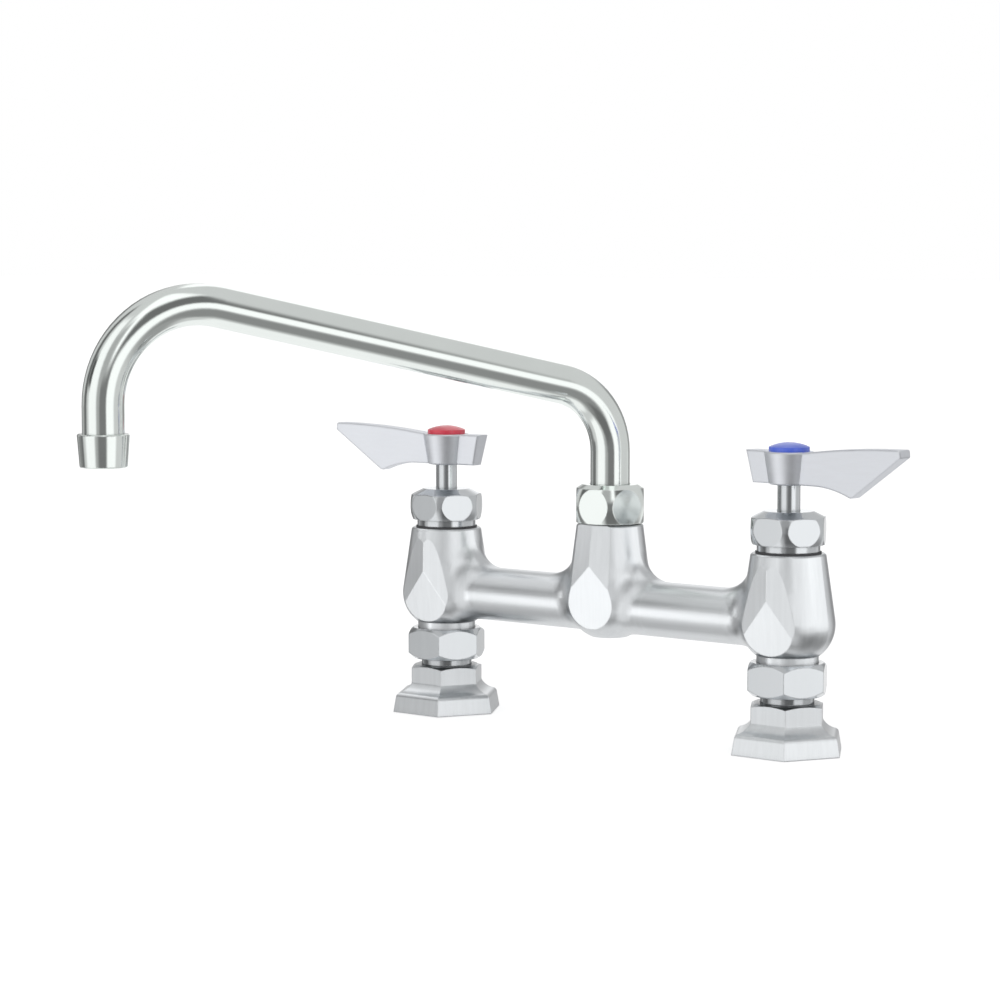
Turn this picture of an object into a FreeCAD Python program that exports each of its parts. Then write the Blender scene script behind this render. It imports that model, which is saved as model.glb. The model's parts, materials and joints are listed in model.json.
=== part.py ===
import FreeCAD, Part
import math
import os

import Sketcher

# Deck mount faucet: two valves on 8 inch centres joined by a cast bridge, with a swinging tube spout.
# Millimetres. +X runs from the hot valve to the cold valve, -Y is towards the user, +Z is up.
# The origin is on the deck, midway between the two inlets.

SIZES = {
    # Whole faucet
    "valve_spacing": 203.2,
    "thread_clearance": 0.1,
    "slip_clearance": 0.3,
    "running_clearance": 0.08,
    # Hexagonal base flange that stands on the deck, drilled for a half inch pipe thread
    "base_flats": 49.7,
    "base_shoulder_flats": 47.2,
    "base_band_height": 7.8,
    "base_shoulder_round": 2.6,
    "base_shoulder_step": 1.8,
    "base_cove_radius": 9.0,
    "base_neck_flats": 32.7,
    "base_cove_height": 6.4,
    "base_height": 23.0,
    "base_top_chamfer": 1.7,
    "inlet_radius": 9.13,
    # Flanged tailpiece screwed into the base and held to the body by the coupling nut
    "tail_radius": 12.6,
    "tail_bore_radius": 7.5,
    "tail_spigot_radius": 11.0,
    "tail_spigot_length": 7.0,
    "tail_exposed": 3.6,
    "tail_flange_radius": 14.0,
    "tail_flange_thickness": 2.5,
    "coupling_flats": 35.0,
    "coupling_height": 15.3,
    "coupling_lip": 3.5,
    "coupling_chamfer": 3.0,
    "coupling_face_inset": 0.6,
    "nut_twist": -2.5,
    "union_washer_thickness": 2.0,
    "union_washer_bore_radius": 8.5,
    # Cast body: two pear shaped valve barrels, a centre post and the bridge tube
    "neck_radius": 14.4,
    "neck_exposed": 3.4,
    "neck_bore_radius": 8.0,
    "barrel_height": 47.2,
    "barrel_top_radius": 17.5,
    "barrel_bulge_radius": 21.8,
    "barrel_bulge_height": 16.7,
    "barrel_foot_radius": 15.2,
    "lip_chamfer": 0.8,
    "bridge_radius": 13.2,
    "bridge_height": 15.4,
    "bridge_bore_radius": 8.5,
    "post_bore_radius": 7.5,
    "post_top_rise": 39.5,
    "post_bottom_drop": 15.2,
    "post_top_radius": 16.1,
    "post_bulge_radius": 20.5,
    "post_bulge_rise": 5.0,
    "post_floor_radius": 9.0,
    "casting_fillet": 17.0,
    "barrel_ridge_angle": 9.0,
    "barrel_ridge_reach": 16.5,
    "barrel_ridge_start": 7.0,
    "barrel_ridge_lean": 1.2,
    "post_ridge_angle": 10.4,
    "post_ridge_reach": 14.5,
    "post_ridge_depth": 1.4,
    "barrel_facet_rise": 9.5,
    "barrel_facet_tilt": 6.0,
    "post_facet_rise": 15.0,
    "post_facet_tilt": 3.0,
    # Valve pocket in each barrel, and the bonnet that closes it
    "seat_height": 4.7,
    "pocket_radius": 11.5,
    "bonnet_thread_radius": 13.1,
    "bonnet_thread_depth": 10.0,
    "bonnet_washer_radius": 15.3,
    "bonnet_washer_thickness": 0.8,
    "bonnet_collar_radius": 14.7,
    "bonnet_collar_height": 3.3,
    "bonnet_flats": 33.5,
    "bonnet_hex_height": 15.4,
    "bonnet_waist_radius": 18.6,
    "bonnet_base_radius": 16.9,
    "bonnet_shoulder_radius": 17.7,
    "bonnet_crown_height": 3.0,
    "bonnet_crown_radius": 11.6,
    "bonnet_barrel_round": 20.0,
    "bonnet_plate": 8.0,
    "bonnet_cavity_radius": 10.2,
    # Quarter turn ceramic cartridge
    "cartridge_flange": 2.2,
    "cartridge_boss_radius": 9.8,
    "cartridge_boss_height": 15.6,
    "cartridge_chamber_radius": 8.8,
    "cartridge_chamber_height": 23.4,
    "cartridge_lift": 0.6,
    "window_width": 9.0,
    "window_height": 8.0,
    "cartridge_oring_height": 26.0,
    "cartridge_oring_section": 1.7,
    "seal_height": 3.0,
    "seal_bore_radius": 5.8,
    "disc_height": 3.0,
    "disc_port_radius": 2.4,
    "disc_port_offset": 4.6,
    "disc_slot_width": 3.2,
    "disc_slot_length": 9.0,
    "disc_slot_depth": 1.8,
    # Valve stem
    "stem_radius": 5.3,
    "stem_exposed": 12.2,
    "stem_collar_radius": 7.5,
    "stem_collar_height": 2.2,
    "stem_tip_radius": 4.5,
    "stem_square": 7.2,
    "stem_square_length": 7.0,
    "stem_oring_drop": 34.0,
    "stem_oring_section": 1.1,
    "stem_groove_width": 1.6,
    # Lever handle, which rests a little forward of the valve line
    "handle_rest_turn": 5.5,
    "hub_height": 15.2,
    "hub_top_radius": 11.6,
    "hub_bottom_radius": 9.4,
    "hub_edge": 0.6,
    "hub_recess_radius": 8.4,
    "hub_recess_depth": 5.5,
    "hub_web": 2.5,
    "stub_top_length": 22.0,
    "stub_bottom_length": 18.5,
    "blade_length": 65.4,
    "blade_tip_rise": 3.7,
    "blade_tip_depth": 3.6,
    "blade_tip_lean": 0.4,
    "blade_tip_round": 1.2,
    "blade_crown_radius": 380.0,
    "blade_flat_length": 16.0,
    "blade_corner_out": 37.5,
    "blade_corner_drop": 4.8,
    "blade_corner_round": 3.0,
    "blade_stub_thickness": 9.5,
    "blade_tip_thickness": 7.8,
    "blade_draft": 1.6,
    "blade_edge_round": 0.9,
    "bar_overhang": 4.0,
    # Handle screw and index button
    "screw_radius": 2.0,
    "screw_length": 9.0,
    "screw_run_out": 0.9,
    "screw_head_radius": 4.2,
    "screw_head_height": 2.8,
    "button_radius": 9.4,
    "button_rim": 2.1,
    "button_height": 4.2,
    "button_plug_length": 2.0,
    # Spout nut and swivel on the centre post
    "spout_nut_flats": 32.4,
    "spout_nut_height": 18.5,
    "spout_nut_gap": 0.6,
    "spout_nut_lip": 3.0,
    "spout_nut_waist_radius": 18.0,
    "spout_nut_base_radius": 16.4,
    "spout_nut_shoulder_radius": 16.2,
    "spout_nut_crown_height": 1.8,
    "spout_nut_crown_radius": 13.4,
    "spout_nut_barrel_round": 24.0,
    "spout_nut_twist": 6.0,
    "post_thread_radius": 13.4,
    "swivel_radius": 11.6,
    "swivel_length": 18.0,
    "swivel_flange_radius": 13.0,
    "swivel_flange": 2.5,
    "swivel_groove_width": 1.8,
    "swivel_oring_section": 1.24,
    "swivel_oring_step": 6.0,
    "swivel_wall": 0.75,
    "thrust_washer_thickness": 1.7,
    # Tube spout
    "spout_radius": 9.525,
    "spout_wall": 1.2,
    "spout_riser": 15.7,
    "spout_post_bend": 33.7,
    "spout_rise": 12.44,
    "spout_outlet_bend": 44.3,
    "spout_reach": 254.0,
    "spout_drop": 27.4,
    "spout_swing": 25.9,
    # Outlet collar and flow straightener
    "collar_top_radius": 11.8,
    "collar_bottom_radius": 10.7,
    "collar_height": 15.0,
    "collar_edge": 0.5,
    "collar_lip": 1.2,
    "collar_mouth_radius": 8.2,
    "aerator_height": 5.0,
    "aerator_hole_radius": 0.9,
    "aerator_inner_ring": 2.6,
    "aerator_outer_ring": 5.4,
    "aerator_washer_thickness": 1.5,
    "aerator_washer_bore_radius": 6.4,
}

HEX = 6
FULL_TURN = 360.0
CUTS = ("PartDesign::Pocket", "PartDesign::Groove")
ADDITIONS = ("PartDesign::Pad", "PartDesign::Revolution")

# Below these a length, a difference of radius or place, and a change of volume count as nothing
NO_LENGTH = 1e-9
SAME_RADIUS = 1e-6
SAME_PLACE = 1e-4
NO_VOLUME = 1e-3
# A face's normal has this share or more along the way that it faces
FACES_THAT_WAY = 0.9

doc = FreeCAD.newDocument("deck_faucet")


class Dim:
    """A size: its number now, and the sheet expression that gives it."""

    def __init__(self, value, text):
        self.value = value
        self.text = text

    def joined(self, sign, other, value):
        return Dim(value, f"({self.text} {sign} {other.text})")

    def __add__(self, other):
        other = as_dim(other)
        return self.joined("+", other, self.value + other.value)

    def __sub__(self, other):
        other = as_dim(other)
        return self.joined("-", other, self.value - other.value)

    def __mul__(self, other):
        other = as_dim(other)
        return self.joined("*", other, self.value * other.value)

    def __truediv__(self, other):
        other = as_dim(other)
        return self.joined("/", other, self.value / other.value)

    def __neg__(self):
        return Dim(-self.value, f"(-1 * {self.text})")

    def __radd__(self, other):
        return as_dim(other) + self

    def __rsub__(self, other):
        return as_dim(other) - self

    def __rmul__(self, other):
        return as_dim(other) * self


def as_dim(number):
    return number if isinstance(number, Dim) else Dim(float(number), f"({float(number)!r})")


def sin_of(angle):
    return Dim(math.sin(math.radians(angle.value)), f"sin({angle.text})")


def cos_of(angle):
    return Dim(math.cos(math.radians(angle.value)), f"cos({angle.text})")


def tan_of(angle):
    return Dim(math.tan(math.radians(angle.value)), f"tan({angle.text})")


def angle_of(slope):
    return Dim(math.degrees(math.atan(slope.value)), f"atan({slope.text})")


def fill_sheet():
    """Writes the sizes to the sheet, and gives each back as a Dim under its own name."""
    sheet = doc.addObject("Spreadsheet::Sheet", "Sizes")
    for row, (alias, number) in enumerate(SIZES.items(), start=1):
        sheet.set(f"A{row}", alias)
        sheet.set(f"B{row}", str(number))
        sheet.setAlias(f"B{row}", alias)
    doc.recompute()
    return {alias: Dim(float(number), f"Sizes.{alias}") for alias, number in SIZES.items()}


class Named:
    def __init__(self, values):
        self.__dict__.update(values)


s = Named(fill_sheet())


# Heights above the deck, stacked from the base flange upwards
half_spacing = s.valve_spacing / 2
coupling_bottom = s.base_height + s.tail_exposed
tail_flange_bottom = coupling_bottom + s.coupling_lip
union_washer_bottom = tail_flange_bottom + s.tail_flange_thickness
neck_bottom = union_washer_bottom + s.union_washer_thickness
body_bottom = coupling_bottom + s.coupling_height + s.neck_exposed
bulge_level = body_bottom + s.barrel_bulge_height
barrel_top = body_bottom + s.barrel_height
bridge_level = body_bottom + s.bridge_height
post_bottom = bridge_level - s.post_bottom_drop
post_bulge_level = bridge_level + s.post_bulge_rise
post_top = bridge_level + s.post_top_rise
seat_level = body_bottom + s.seat_height
shoulder_level = barrel_top - s.bonnet_thread_depth
bonnet_bottom = barrel_top + s.bonnet_washer_thickness
bonnet_hex_bottom = bonnet_bottom + s.bonnet_collar_height
bonnet_top = bonnet_hex_bottom + s.bonnet_hex_height
bonnet_plate_bottom = bonnet_top - s.bonnet_plate
hub_bottom = bonnet_top + s.stem_exposed
spout_nut_bottom = post_top + s.spout_nut_gap
spout_nut_top = spout_nut_bottom + s.spout_nut_height
thrust_washer_top = spout_nut_top - s.spout_nut_lip - s.slip_clearance
swivel_flange_top = thrust_washer_top - s.thrust_washer_thickness
swivel_seat = swivel_flange_top - s.swivel_flange
post_thread_top = swivel_seat - s.running_clearance


def new_body(label, x=None, z=None, turn=None):
    """An empty sub-part, placed by its axis, its seat height and its turn about the vertical."""
    body = doc.addObject("PartDesign::Body", label)
    body.Label = label
    body.Placement.Rotation = FreeCAD.Rotation(FreeCAD.Vector(0, 0, 1), turn.value if turn else 0)
    if x:
        body.setExpression("Placement.Base.x", x.text)
    if z:
        body.setExpression("Placement.Base.z", z.text)
    if turn:
        body.setExpression("Placement.Rotation.Angle", turn.text)
    return body


def origin_part(body, role):
    return next(item for item in body.Origin.OriginFeatures if item.Role == role)


def new_sketch(body, plane, name, across=None, along=None, out=None):
    """A sketch on one of the sub-part's own planes, moved across, along and out of that plane."""
    sketch = body.newObject("Sketcher::SketchObject", name)
    sketch.AttachmentSupport = [(origin_part(body, plane), "")]
    sketch.MapMode = "FlatFace"
    for axis, amount in (("x", across), ("y", along), ("z", out)):
        if amount:
            sketch.setExpression(f"AttachmentOffset.Base.{axis}", amount.text)
    return sketch


def pin_point(sketch, geometry, end, x, y):
    """Ties one end of an edge to its distances from the sketch's origin."""
    for kind, axis, amount in (("DistanceX", -2, as_dim(x)), ("DistanceY", -1, as_dim(y))):
        if abs(amount.value) < NO_LENGTH:
            sketch.addConstraint(Sketcher.Constraint("PointOnObject", geometry, end, axis))
        elif amount.value > 0:
            rule = sketch.addConstraint(Sketcher.Constraint(kind, -1, 1, geometry, end, amount.value))
            sketch.setExpression(f"Constraints[{rule}]", amount.text)
        else:
            amount = -amount
            rule = sketch.addConstraint(Sketcher.Constraint(kind, geometry, end, -1, 1, amount.value))
            sketch.setExpression(f"Constraints[{rule}]", amount.text)


def draw_edge(sketch, start, finish, bend):
    """Adds a line, or an arc that turns left where bend is positive. Gives (geometry, near end, far end)."""
    a = FreeCAD.Vector(start[0].value, start[1].value, 0)
    b = FreeCAD.Vector(finish[0].value, finish[1].value, 0)
    if bend is None:
        return sketch.addGeometry(Part.LineSegment(a, b)), 1, 2
    radius = abs(bend.value)
    chord = b - a
    left = FreeCAD.Vector(-chord.y, chord.x, 0).normalize()
    depth = math.sqrt(radius**2 - (chord.Length / 2) ** 2)
    centre = (a + b) * 0.5 + left * math.copysign(depth, bend.value)
    first, last = (a, b) if bend.value > 0 else (b, a)
    angles = [math.atan2(p.y - centre.y, p.x - centre.x) for p in (first, last)]
    circle = Part.Circle(centre, FreeCAD.Vector(0, 0, 1), radius)
    geometry = sketch.addGeometry(Part.ArcOfCircle(circle, *angles))
    rule = sketch.addConstraint(Sketcher.Constraint("Radius", geometry, radius))
    sketch.setExpression(f"Constraints[{rule}]", (bend if bend.value > 0 else -bend).text)
    return (geometry, 1, 2) if bend.value > 0 else (geometry, 2, 1)


def draw(sketch, corners, closed=True):
    """Draws an outline. A corner is (x, y), or (x, y, bend) where an arc of that radius leads to the next."""
    points = [(as_dim(corner[0]), as_dim(corner[1])) for corner in corners]
    bends = [corner[2] if len(corner) > 2 else None for corner in corners]
    count = len(points) if closed else len(points) - 1
    edges = [draw_edge(sketch, points[i], points[(i + 1) % len(points)], bends[i]) for i in range(count)]
    for i, (geometry, near, far) in enumerate(edges):
        pin_point(sketch, geometry, near, *points[i])
        if closed or i + 1 < count:
            following, its_near, _ = edges[(i + 1) % count]
            sketch.addConstraint(Sketcher.Constraint("Coincident", geometry, far, following, its_near))
    if not closed:
        geometry, _, far = edges[-1]
        pin_point(sketch, geometry, far, *points[-1])


def draw_circle(sketch, radius, x=0, y=0):
    x, y = as_dim(x), as_dim(y)
    centre = FreeCAD.Vector(x.value, y.value, 0)
    geometry = sketch.addGeometry(Part.Circle(centre, FreeCAD.Vector(0, 0, 1), radius.value))
    rule = sketch.addConstraint(Sketcher.Constraint("Radius", geometry, radius.value))
    sketch.setExpression(f"Constraints[{rule}]", radius.text)
    pin_point(sketch, geometry, 3, x, y)


def hexagon(flats, twist):
    """Corners of a hexagon whose flats face front and back when it isn't twisted."""
    radius = flats / math.sqrt(3)
    turns = [twist + FULL_TURN / HEX * k for k in range(HEX)]
    return [(radius * cos_of(turn), radius * sin_of(turn)) for turn in turns]


def rectangle(left, bottom, right, top):
    return [(left, bottom), (right, bottom), (right, top), (left, top)]


def turned(body, kind, name, corners, across=None):
    """A Revolution or Groove about a vertical axis, from its half section."""
    sketch = new_sketch(body, "XZ_Plane", f"{name}_section", across=across)
    draw(sketch, corners)
    feature = body.newObject(f"PartDesign::{kind}", name)
    feature.Profile = sketch
    feature.ReferenceAxis = (sketch, ["V_Axis"])
    feature.Angle = FULL_TURN
    return feature


def extruded(body, kind, name, sketch, length=None, symmetric=False, backwards=False):
    """A Pad or Pocket. Without a length, it goes right through."""
    feature = body.newObject(f"PartDesign::{kind}", name)
    feature.Profile = sketch
    if symmetric:
        feature.SideType = "Symmetric"
    if length is None:
        feature.Type = "ThroughAll"
    else:
        feature.setExpression("Length", length.text)
    feature.Reversed = backwards
    return feature


def patterned(body, feature, count):
    """Repeats a cut around the vertical axis."""
    pattern = body.newObject("PartDesign::PolarPattern", f"{feature.Name}_pattern")
    pattern.Originals = [feature]
    pattern.Axis = (origin_part(body, "Z_Axis"), [""])
    pattern.Angle = FULL_TURN
    pattern.Occurrences = count
    body.Tip = pattern
    return pattern


def cut_hex_flats(body, flats, twist, blank_radius):
    """Mills six flats on a turned blank by clearing all that lies outside the hexagon."""
    sketch = new_sketch(body, "XY_Plane", "flats")
    draw_circle(sketch, blank_radius + flats)
    draw(sketch, hexagon(flats, twist))
    return extruded(body, "Pocket", "milled_flats", sketch, symmetric=True)


def ring(label, inner, outer, height, x=None, z=None):
    """A flat washer or disc with a hole."""
    body = new_body(label, x, z)
    turned(body, "Revolution", "ring", rectangle(inner, 0, outer, height))
    return body


def oring(label, groove_radius, section, x=None, z=None):
    """A round seal that lies just clear of the bottom of its groove."""
    body = new_body(label, x, z)
    sketch = new_sketch(body, "XZ_Plane", "section")
    draw_circle(sketch, section / 2, groove_radius + s.running_clearance / 2 + section / 2)
    feature = body.newObject("PartDesign::Revolution", "seal")
    feature.Profile = sketch
    feature.ReferenceAxis = (sketch, ["V_Axis"])
    feature.Angle = FULL_TURN
    return body


def base_flange(label, x):
    """Hexagonal foot: a drafted band, a rounded shoulder, a cove and a hexagonal neck."""
    body = new_body(label, x)
    plan = new_sketch(body, "XY_Plane", "plan")
    draw(plan, hexagon(s.base_flats, as_dim(0)))
    extruded(body, "Pad", "blank", plan, s.base_height)
    foot = s.base_flats / 2
    shoulder = s.base_shoulder_flats / 2
    neck = s.base_neck_flats / 2
    shoulder_top = s.base_band_height + s.base_shoulder_step
    outside = foot + s.base_shoulder_round
    side = new_sketch(body, "YZ_Plane", "side")
    draw(side, [
        (foot, 0),
        (shoulder, s.base_band_height, s.base_shoulder_round),
        (shoulder - s.base_shoulder_step, shoulder_top, -s.base_cove_radius),
        (neck, s.base_band_height + s.base_cove_height),
        (neck, s.base_height + s.base_top_chamfer),
        (outside, s.base_height + s.base_top_chamfer),
        (outside, 0),
    ])
    cut = extruded(body, "Pocket", "side_profile", side, symmetric=True)
    patterned(body, cut, HEX)
    corner = s.base_neck_flats / math.sqrt(3)
    turned(body, "Groove", "top_chamfer", [
        (neck - s.base_top_chamfer / 2, s.base_height),
        (corner + s.base_top_chamfer / 2, s.base_height - s.base_top_chamfer),
        (corner + s.base_top_chamfer / 2, s.base_height),
    ])
    socket = s.tail_spigot_radius + s.thread_clearance
    socket_floor = s.base_height - s.tail_spigot_length
    turned(body, "Groove", "waterway", [
        (0, 0), (s.inlet_radius, 0), (s.inlet_radius, socket_floor),
        (socket, socket_floor), (socket, s.base_height), (0, s.base_height),
    ])
    return body


def tailpiece(label, x):
    """Short pipe whose flange is drawn up against the body by the coupling nut."""
    body = new_body(label, x, s.base_height)
    flange_bottom = s.tail_exposed + s.coupling_lip
    top = flange_bottom + s.tail_flange_thickness
    turned(body, "Revolution", "pipe", [
        (s.tail_bore_radius, -s.tail_spigot_length), (s.tail_spigot_radius, -s.tail_spigot_length),
        (s.tail_spigot_radius, 0), (s.tail_radius, 0), (s.tail_radius, flange_bottom),
        (s.tail_flange_radius, flange_bottom), (s.tail_flange_radius, top), (s.tail_bore_radius, top),
    ])
    return body


def coupling_nut(label, x):
    """Union nut: a hexagon chamfered at both ends, threaded above and lipped below."""
    body = new_body(label, x, coupling_bottom)
    corner = s.coupling_flats / math.sqrt(3)
    face = s.coupling_flats / 2 - s.coupling_face_inset
    lip_bore = s.tail_radius + s.slip_clearance
    thread = s.neck_radius + s.thread_clearance
    height = s.coupling_height
    turned(body, "Revolution", "blank", [
        (lip_bore, 0), (face, 0), (corner, s.coupling_chamfer), (corner, height - s.coupling_chamfer),
        (face, height), (thread, height), (thread, s.coupling_lip), (lip_bore, s.coupling_lip),
    ])
    cut_hex_flats(body, s.coupling_flats, s.nut_twist, corner)
    return body


def under_round(out, up, lean):
    """Radius of an arc that goes this far out and up, and ends in line with a side that leans in by this."""
    angle = angle_of(lean)
    return (out * out + up * up) / (out * cos_of(angle) + up * sin_of(angle)) / 2


def junction_edges(shape, radius):
    """Names of the edges where the bridge tube of this radius meets the barrels and the post."""
    names = []
    for number, edge in enumerate(shape.Edges, start=1):
        faces = shape.ancestorsOfType(edge, Part.Face)
        tubes = [face for face in faces if isinstance(face.Surface, Part.Cylinder)]
        on_bridge = [face for face in tubes if abs(face.Surface.Radius - radius) < SAME_RADIUS]
        if len(faces) == 2 and len(on_bridge) == 1:
            names.append(f"Edge{number}")
    return names


def ridge_notches(ridge, angle, reach):
    """Plan outlines, front and back, that leave two flats meeting in a ridge at this distance out."""
    shoulder = reach * tan_of(angle) - ridge
    outside = ridge * 2
    front = [(0, -ridge), (-reach, shoulder), (-reach, -outside), (reach, -outside), (reach, shoulder)]
    back = [(x, -as_dim(y)) for x, y in front]
    return front, back


def cut_ridges(body, axes, ridge, lean, angle, reach, top, foot):
    """Grinds the flats either side of each front and back ridge, which leans out as it goes down."""
    for label, axis in axes:
        sketch = new_sketch(body, "XY_Plane", f"{label}_ridge_plan", across=axis, out=top)
        for outline in ridge_notches(ridge, angle, reach):
            draw(sketch, outline)
        cut = extruded(body, "Pocket", f"{label}_ridge", sketch, top - foot)
        cut.setExpression("TaperAngle", (-angle_of(lean * cos_of(angle))).text)


def cut_facets(body, axes, ridge, apex, bottom, tilt, reach):
    """Grinds the tear shaped facet off each ridge, front and back, leaning in towards its foot."""
    foot = ridge - (apex - bottom) * tan_of(tilt)
    outside = reach * 2
    for label, axis in axes:
        sketch = new_sketch(body, "YZ_Plane", f"{label}_facet_side", out=axis)
        draw(sketch, [(-ridge, apex), (-outside, apex), (-outside, bottom), (-foot, bottom)])
        draw(sketch, [(ridge, apex), (foot, bottom), (outside, bottom), (outside, apex)])
        extruded(body, "Pocket", f"{label}_facet", sketch, reach * 2, symmetric=True)


def faucet_body(label):
    """The casting: barrels, post and bridge blended together, faceted by grinding, then bored."""
    body = new_body(label)
    valves = (("hot", -half_spacing), ("cold", half_spacing))
    centre = (("post", None),)
    lip = s.lip_chamfer
    barrel_lean = (s.barrel_bulge_radius - s.barrel_top_radius) / (barrel_top - lip - bulge_level)
    post_lean = (s.post_bulge_radius - s.post_top_radius) / (post_top - lip - post_bulge_level)
    barrel_round = under_round(
        s.barrel_bulge_radius - s.barrel_foot_radius, bulge_level - body_bottom, barrel_lean)
    post_round = under_round(
        s.post_bulge_radius - s.post_floor_radius, post_bulge_level - post_bottom, post_lean)
    for name, axis in valves:
        turned(body, "Revolution", f"{name}_barrel", [
            (0, neck_bottom), (s.neck_radius, neck_bottom), (s.neck_radius, body_bottom),
            (s.barrel_foot_radius, body_bottom, barrel_round), (s.barrel_bulge_radius, bulge_level),
            (s.barrel_top_radius, barrel_top - lip), (s.barrel_top_radius - lip, barrel_top), (0, barrel_top),
        ], across=axis)
    turned(body, "Revolution", "centre_post", [
        (0, post_bottom), (s.post_floor_radius, post_bottom, post_round),
        (s.post_bulge_radius, post_bulge_level), (s.post_top_radius, post_top - lip),
        (s.post_top_radius - lip, post_top), (s.post_thread_radius, post_top),
        (s.post_thread_radius, post_thread_top), (0, post_thread_top),
    ])
    tube = new_sketch(body, "YZ_Plane", "bridge_section")
    draw_circle(tube, s.bridge_radius, 0, bridge_level)
    bridge = extruded(body, "Pad", "bridge", tube, s.valve_spacing, symmetric=True)
    rounded(body, "casting_blend", bridge, junction_edges, s.bridge_radius.value, s.casting_fillet)

    # On the valves the ridge leans out less than the taper, so it leaves the round a little below the top.
    ridge_lean = tan_of(s.barrel_ridge_lean)
    ridge = s.barrel_top_radius - barrel_lean * lip + (barrel_lean - ridge_lean) * s.barrel_ridge_start
    apex = bulge_level + s.barrel_facet_rise
    cut_ridges(body, valves, ridge, ridge_lean, s.barrel_ridge_angle, s.barrel_ridge_reach,
               barrel_top, body_bottom)
    cut_facets(body, valves, ridge + ridge_lean * (barrel_top - apex), apex, body_bottom,
               s.barrel_facet_tilt, s.barrel_bulge_radius)
    # On the post the ridge lies at one depth all the way, so its flats run from the top down to the blend.
    ridge = s.post_top_radius - post_lean * lip - s.post_ridge_depth
    apex = post_bulge_level + s.post_facet_rise
    cut_ridges(body, centre, ridge, post_lean, s.post_ridge_angle, s.post_ridge_reach,
               post_top, post_bottom)
    cut_facets(body, centre, ridge + post_lean * (post_top - apex), apex, post_bottom,
               s.post_facet_tilt, s.post_bulge_radius)

    for name, axis in valves:
        turned(body, "Groove", f"{name}_pocket", [
            (0, neck_bottom), (s.neck_bore_radius, neck_bottom), (s.neck_bore_radius, seat_level),
            (s.pocket_radius, seat_level), (s.pocket_radius, shoulder_level),
            (s.bonnet_thread_radius, shoulder_level), (s.bonnet_thread_radius, barrel_top), (0, barrel_top),
        ], across=axis)
    swivel_bore = s.swivel_radius + s.running_clearance
    swivel_floor = swivel_seat - s.swivel_length - s.slip_clearance
    turned(body, "Groove", "post_bore", [
        (0, bridge_level), (s.post_bore_radius, bridge_level), (s.post_bore_radius, swivel_floor),
        (swivel_bore, swivel_floor), (swivel_bore, post_thread_top), (0, post_thread_top),
    ])
    bore = new_sketch(body, "YZ_Plane", "bridge_bore_section")
    draw_circle(bore, s.bridge_bore_radius, 0, bridge_level)
    extruded(body, "Pocket", "bridge_bore", bore, s.valve_spacing, symmetric=True)
    return body


def bonnet(label, x):
    """Hexagonal bonnet with a barrel shaped blank, screwed into the valve pocket over the cartridge."""
    body = new_body(label, x, bonnet_bottom)
    shank_length = s.bonnet_washer_thickness + s.bonnet_thread_depth - s.cartridge_flange
    hex_bottom = s.bonnet_collar_height
    top = hex_bottom + s.bonnet_hex_height
    shoulder = top - s.bonnet_crown_height
    stem_bore = s.stem_radius + s.running_clearance
    shank = s.bonnet_thread_radius - s.thread_clearance
    plate = top - s.bonnet_plate
    waist = (hex_bottom + shoulder) / 2
    turned(body, "Revolution", "blank", [
        (s.bonnet_cavity_radius, -shank_length), (shank, -shank_length), (shank, 0),
        (s.bonnet_collar_radius, 0), (s.bonnet_collar_radius, hex_bottom),
        (s.bonnet_base_radius, hex_bottom, s.bonnet_barrel_round),
        (s.bonnet_waist_radius, waist, s.bonnet_barrel_round),
        (s.bonnet_shoulder_radius, shoulder), (s.bonnet_crown_radius, top), (stem_bore, top),
        (stem_bore, plate), (s.bonnet_cavity_radius, plate),
    ])
    flats = new_sketch(body, "XY_Plane", "flats", out=hex_bottom)
    draw_circle(flats, s.bonnet_waist_radius + s.bonnet_flats)
    draw(flats, hexagon(s.bonnet_flats, s.nut_twist))
    extruded(body, "Pocket", "milled_flats", flats, s.bonnet_hex_height, backwards=True)
    return body


def cartridge_body(label, x):
    """Brass sleeve that holds the ceramic discs and guides the stem, with a window to the bridge."""
    body = new_body(label, x, seat_level)
    bottom = s.cartridge_lift
    shoulder = shoulder_level - seat_level
    flange_top = shoulder + s.cartridge_flange
    boss_top = flange_top + s.cartridge_boss_height
    sleeve = s.pocket_radius - s.slip_clearance
    flange = s.bonnet_thread_radius - s.slip_clearance
    stem_bore = s.stem_radius + s.running_clearance
    chamber_top = bottom + s.cartridge_chamber_height
    turned(body, "Revolution", "sleeve", [
        (s.cartridge_chamber_radius, bottom), (sleeve, bottom), (sleeve, shoulder), (flange, shoulder),
        (flange, flange_top), (s.cartridge_boss_radius, flange_top), (s.cartridge_boss_radius, boss_top),
        (stem_bore, boss_top), (stem_bore, chamber_top), (s.cartridge_chamber_radius, chamber_top),
    ])
    groove = s.pocket_radius - s.cartridge_oring_section - s.running_clearance
    half_groove = s.cartridge_oring_section / 2 + s.slip_clearance
    seal = s.cartridge_oring_height
    turned(body, "Groove", "oring_groove", rectangle(
        groove, seal - half_groove, s.pocket_radius, seal + half_groove))
    half_width = s.window_width / 2
    sill = s.seal_height + s.disc_height * 2 + s.slip_clearance
    window = new_sketch(body, "YZ_Plane", "window")
    draw(window, rectangle(-half_width, sill, half_width, sill + s.window_height))
    extruded(body, "Pocket", "windows", window, symmetric=True)
    return body


def ceramic_disc(label, x, z, radius, along_x, turn=None):
    """Lapped disc with two ports, which line up with the other disc's ports a quarter turn away."""
    body = new_body(label, x, z, turn)
    turned(body, "Revolution", "disc", rectangle(0, 0, radius, s.disc_height))
    ports = new_sketch(body, "XY_Plane", "ports")
    for offset in (s.disc_port_offset, -s.disc_port_offset):
        draw_circle(ports, s.disc_port_radius, *((offset, 0) if along_x else (0, offset)))
    extruded(body, "Pocket", "port_holes", ports, symmetric=True)
    return body


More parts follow.
